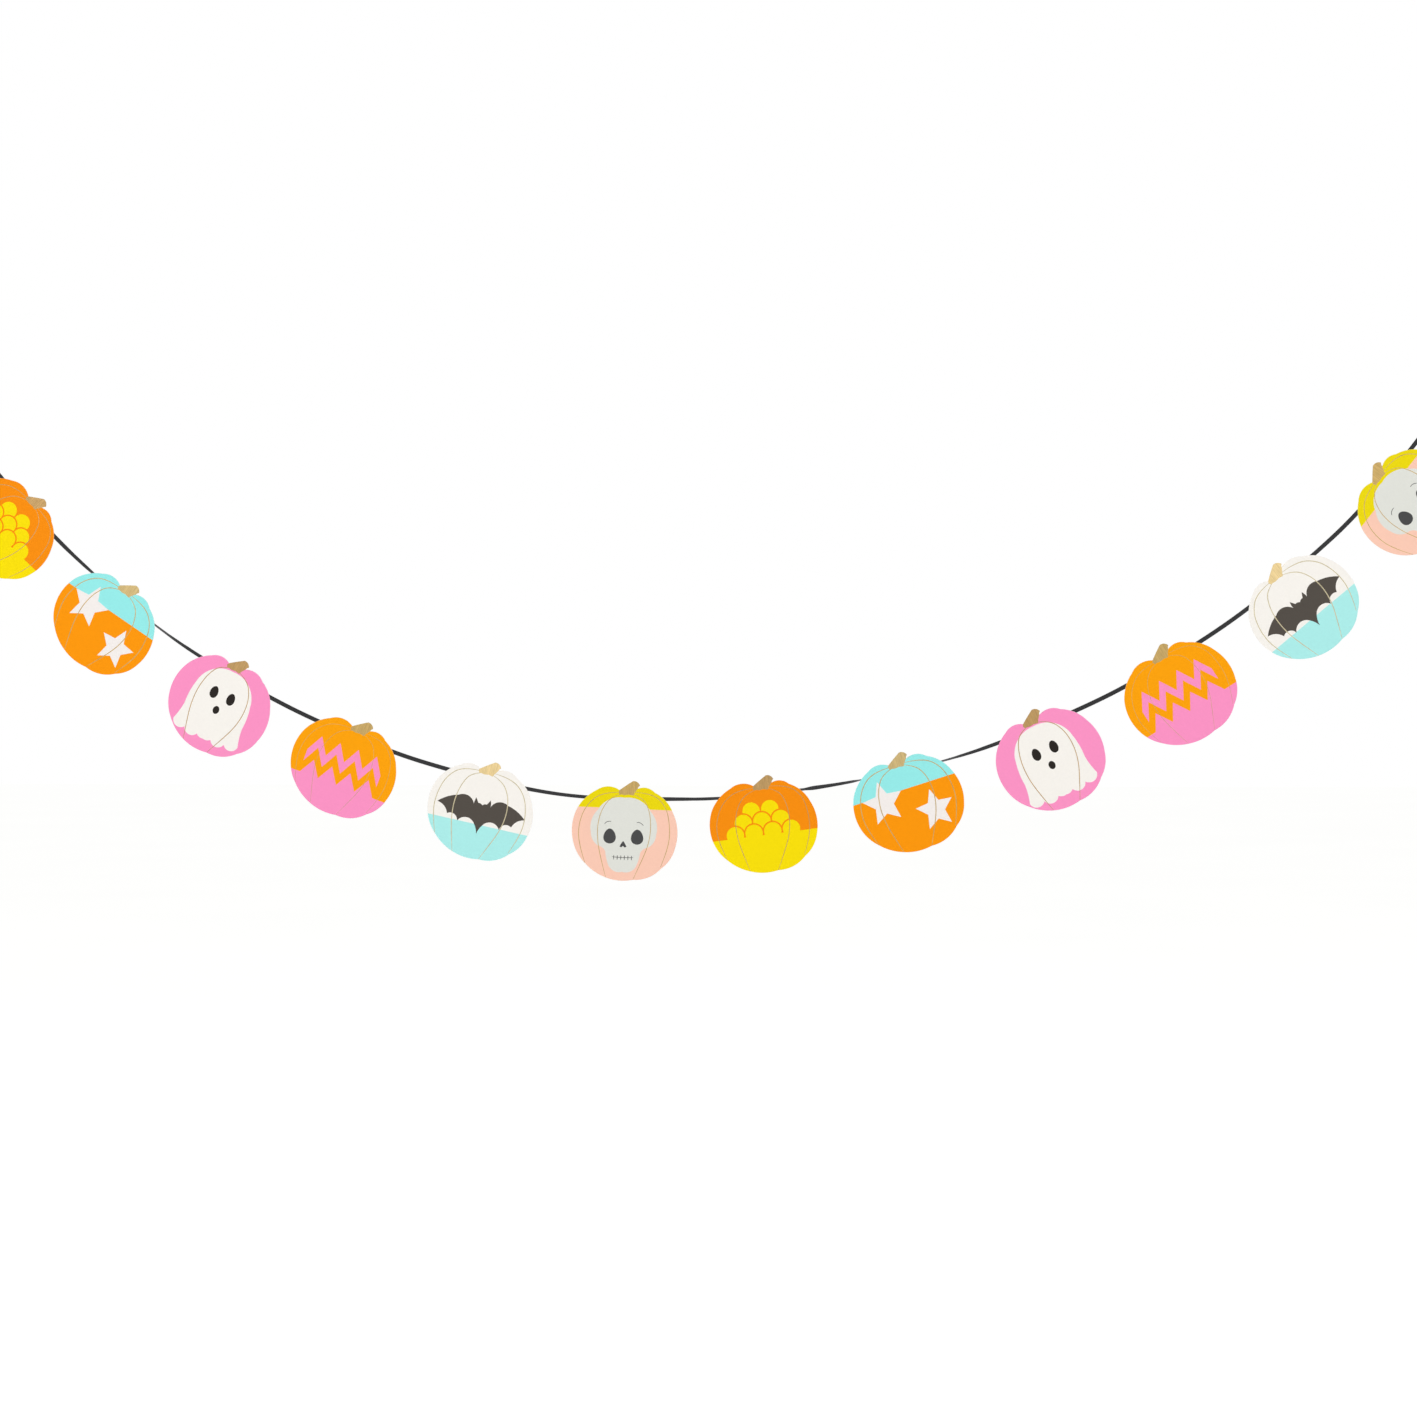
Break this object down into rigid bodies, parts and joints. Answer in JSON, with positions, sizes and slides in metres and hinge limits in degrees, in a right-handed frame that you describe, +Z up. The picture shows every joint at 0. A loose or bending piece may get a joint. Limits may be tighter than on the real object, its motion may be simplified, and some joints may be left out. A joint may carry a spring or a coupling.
{
  "type": "paper pumpkin garland",
  "caption": "Hanging party garland: flat die-cut card pumpkins with printed fields and foil stems, glued at an even pitch to one narrow flat ribbon with a tied loop at each end.",
  "frame": {"origin": "where a hook bears, at the inner top of the ribbon's left hanging loop", "axes": "+X along the garland to its right end, +Z up, +Y from the printed faces to the backs"},
  "size_m": [1.8575, 0.0052, 0.6444],
  "materials": {
    "ribbon": "black woven ribbon, soft sheen",
    "card_scallops": "matt printed heavy card, orange over yellow, foil stem",
    "card_stars": "matt printed heavy card, aqua over orange with white stars, foil stem",
    "card_ghost": "matt printed heavy card, cream figure on pink, foil stem",
    "card_zigzag": "matt printed heavy card, orange over pink, foil stem",
    "card_bat": "matt printed heavy card, cream over aqua with a dark bat, foil stem",
    "card_skull": "matt printed heavy card, yellow over peach with a grey skull, foil stem",
    "tab_paper": "plain white paper"
  },
  "bodies": {
    "root": {"ribbon": "ribbon", "card_01_scallops": "card_scallops", "card_02_stars": "card_stars", "card_03_ghost": "card_ghost", "card_04_zigzag": "card_zigzag", "card_05_bat": "card_bat", "card_06_skull": "card_skull", "card_07_scallops": "card_scallops", "card_08_stars": "card_stars", "card_09_ghost": "card_ghost", "card_10_zigzag": "card_zigzag", "card_11_bat": "card_bat", "card_12_skull": "card_skull", "tab_01": "tab_paper", "tab_02": "tab_paper", "tab_03": "tab_paper", "tab_04": "tab_paper", "tab_05": "tab_paper", "tab_06": "tab_paper", "tab_07": "tab_paper", "tab_08": "tab_paper", "tab_09": "tab_paper", "tab_10": "tab_paper", "tab_11": "tab_paper", "tab_12": "tab_paper"}
  },
  "joints": []
}
